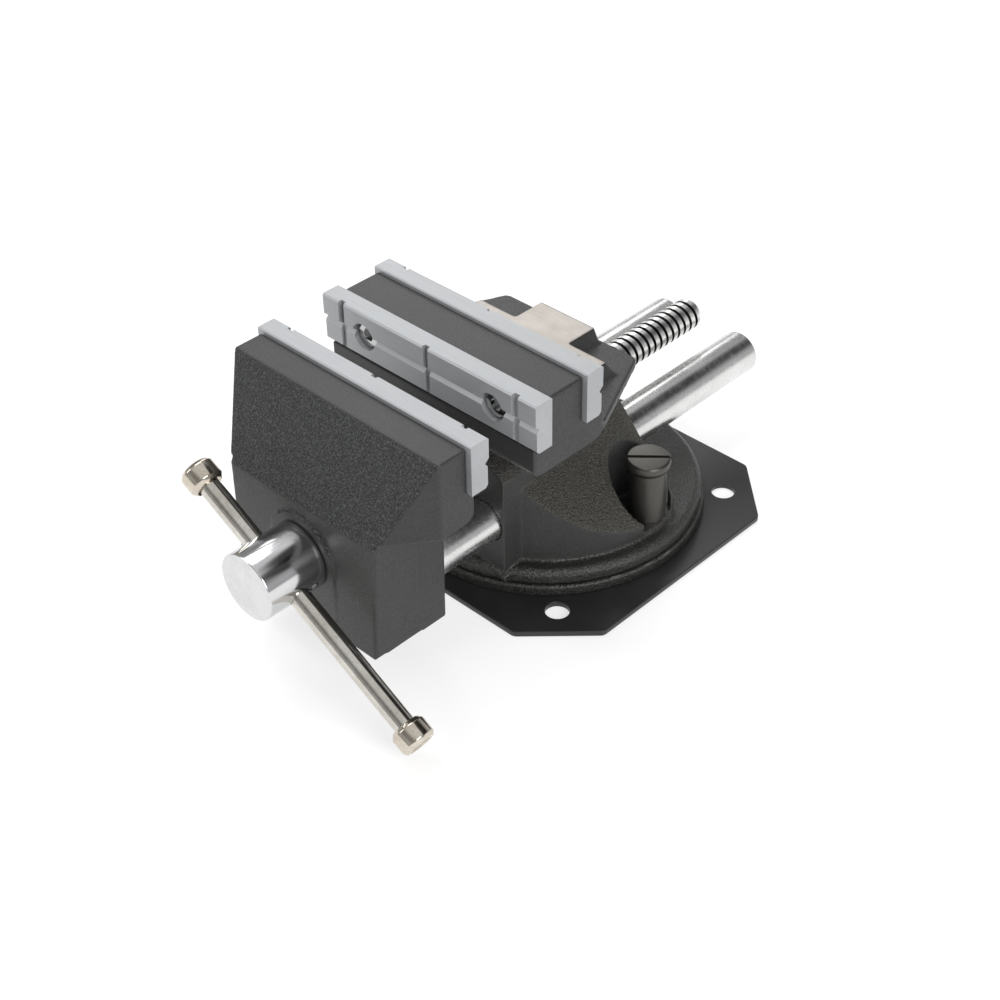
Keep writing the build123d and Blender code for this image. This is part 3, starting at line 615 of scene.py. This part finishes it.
# ------------------------------------------------------------------ lead screw with a true helix
def thread_mesh(y0, y1, pitch, r_out, r_in, origin_z, seg=96):
    """A right-hand helix with flat crests, cut square at both ends and chamfered at y1."""
    prof = [(0.0, r_out), (0.15, r_out), (0.30, r_out), (0.45, r_out), (0.60, r_out), (0.69, r_in), (0.91, r_in)]
    m = len(prof)
    turns = int(math.ceil((y1 - y0) / pitch)) + 6
    cols = [(t + u, rr) for t in range(turns) for u, rr in prof]
    C = len(cols)
    verts, faces = [], []
    for k in range(seg):
        a = 2 * math.pi * k / seg
        for u, rr in cols:
            y = y0 + (u - 2.0 - k / seg) * pitch
            r = rr
            if y > y1 - 1.3:
                r = max(min(r, r_out - 1.1 + (y1 - y) * 0.9), 3.0)
            verts.append((r * math.cos(a) * MM, y * MM, (origin_z + r * math.sin(a)) * MM))
    for k in range(seg):
        for j in range(C - 1):
            a0, a1 = k * C + j, k * C + j + 1
            if k + 1 < seg:
                b0, b1 = a0 + C, a1 + C
            else:
                # a full turn on, the profile has moved by one pitch
                if j < m:
                    continue
                b0, b1 = j - m, j - m + 1
            faces.append((a0, a1, b1, b0))
    me = bpy.data.meshes.new("thread")
    me.from_pydata(verts, [], faces)
    bm = bmesh.new()
    bm.from_mesh(me)
    for y, sign in ((y0, -1), (y1, 1)):
        bmesh.ops.bisect_plane(bm, geom=bm.verts[:] + bm.edges[:] + bm.faces[:], dist=1e-8, plane_co=(0, y * MM, 0), plane_no=(0, sign, 0), clear_outer=True)
    bmesh.ops.remove_doubles(bm, verts=bm.verts, dist=0.000002)
    for y in (y0, y1):
        edges = [e for e in bm.edges if e.is_boundary and abs(e.verts[0].co.y - y * MM) < 1e-5 and abs(e.verts[1].co.y - y * MM) < 1e-5]
        bmesh.ops.contextual_create(bm, geom=edges)
    bmesh.ops.recalc_face_normals(bm, faces=bm.faces)
    print("THREAD open edges", sum(1 for e in bm.edges if not e.is_manifold))
    bm.to_mesh(me)
    bm.free()
    return me


th = thread_mesh(-98.0, 93.0, 4.0, 7.0, 5.2, 51.3)
screw = link("lead_screw_thread", th, [SCREWM, GROOVE_SHADE], "screw", "bright_steel", "lead_screw", sharp=30)
# the grooves get a darker steel as painted shade, the crests are bright
paint_by(th, lambda c, n: np.where((np.hypot(c[:, 0], c[:, 2] - 51.3) < 6.6) & (c[:, 1] < 92.0), 1, 0))
core = lathe_mesh("core", [(0, -97.0), (5.1, -97.0), (5.1, 91.9), (5.95, 92.8), (5.95, 93.02), (0, 93.02)], (0, 0, 51.3), (0, 1, 0), 96)
link("lead_screw_core", core, SCREWM, "screw", "bright_steel", "lead_screw", sharp=40)
jr = lathe_mesh("journal", rounded([(0, -150.0), (7.0, -150.0), (7.0, -97.5), (0, -97.5)], 0.3), (0, 0, 51.3), (0, 1, 0), 120)
link("lead_screw_journal", jr, SCREWM, "screw", "bright_steel", "lead_screw", sharp=40)

# ------------------------------------------------------------------ swivel lock heads
for side, sx in (("right", 1), ("left", -1)):
    x0 = sx * 51.6
    prof = [(0, 17.5), (7.5, 17.5), (7.9, 17.9), (7.9, 41.0), (8.1, 41.5), (8.7, 42.2), (9.2, 43.2), (9.2, 45.7), (8.5, 46.4), (0, 46.4)]
    st = lathe_mesh("stud", rounded(prof, 0.35, 3), (x0, 4.0, 0), (0, 0, 1), 140)
    sl = bpy.data.meshes.new("slot")
    bm = bmesh.new()
    bmesh.ops.create_cube(bm, size=1.0)
    bmesh.ops.scale(bm, vec=(30 * MM, 1.7 * MM, 5.2 * MM), verts=bm.verts)
    bmesh.ops.rotate(bm, cent=(0, 0, 0), matrix=Matrix.Rotation(math.radians(42 * sx), 3, "Z"), verts=bm.verts)
    bmesh.ops.translate(bm, vec=(x0 * MM, 4 * MM, 46.4 * MM), verts=bm.verts)
    bm.to_mesh(sl)
    bm.free()
    st = boolean(st, [sl])
    link("swivel_lock_head_" + side, st, DARK, "lock_" + side, "dark_steel", "swivel_lock_nut_" + side, sharp=35)

# ------------------------------------------------------------------ CAD nodes that stay, with their materials
keep = {
    "front_jaw_pad": PAD, "fixed_jaw_pad_front": PAD, "fixed_jaw_pad_rear": PAD,
    "front_jaw_pad_screws": ZINC, "fixed_jaw_pad_front_screws": ZINC, "fixed_jaw_pad_rear_screws": ZINC,
    "swivel_centre_disc": CAST, "base_rivets": DARK, "pivot_screw": DARK, "screw_nut": BRONZE, "nut_locking_screw": DARK,
    "swivel_lock_washer_right": DARK, "swivel_lock_washer_left": DARK, "lock_t_bolt_right": DARK, "lock_t_bolt_left": DARK,
    "guide_bar_set_screws": DARK, "hub_pin": PINM, "retaining_collar": DARK, "collar_pin": DARK, "thrust_washer": BRONZE,
}
for n, m in keep.items():
    o = N[n]
    o.data.materials.clear()
    o.data.materials.append(m)
    for p in o.data.polygons:
        p.use_smooth = False
    if "pad" in n and "screws" not in n:
        bv = o.modifiers.new("edge", "BEVEL")
        bv.width = 0.35 * MM
        bv.segments = 2
        bv.limit_method = "ANGLE"
        bv.angle_limit = math.radians(35)
        bv.harden_normals = True
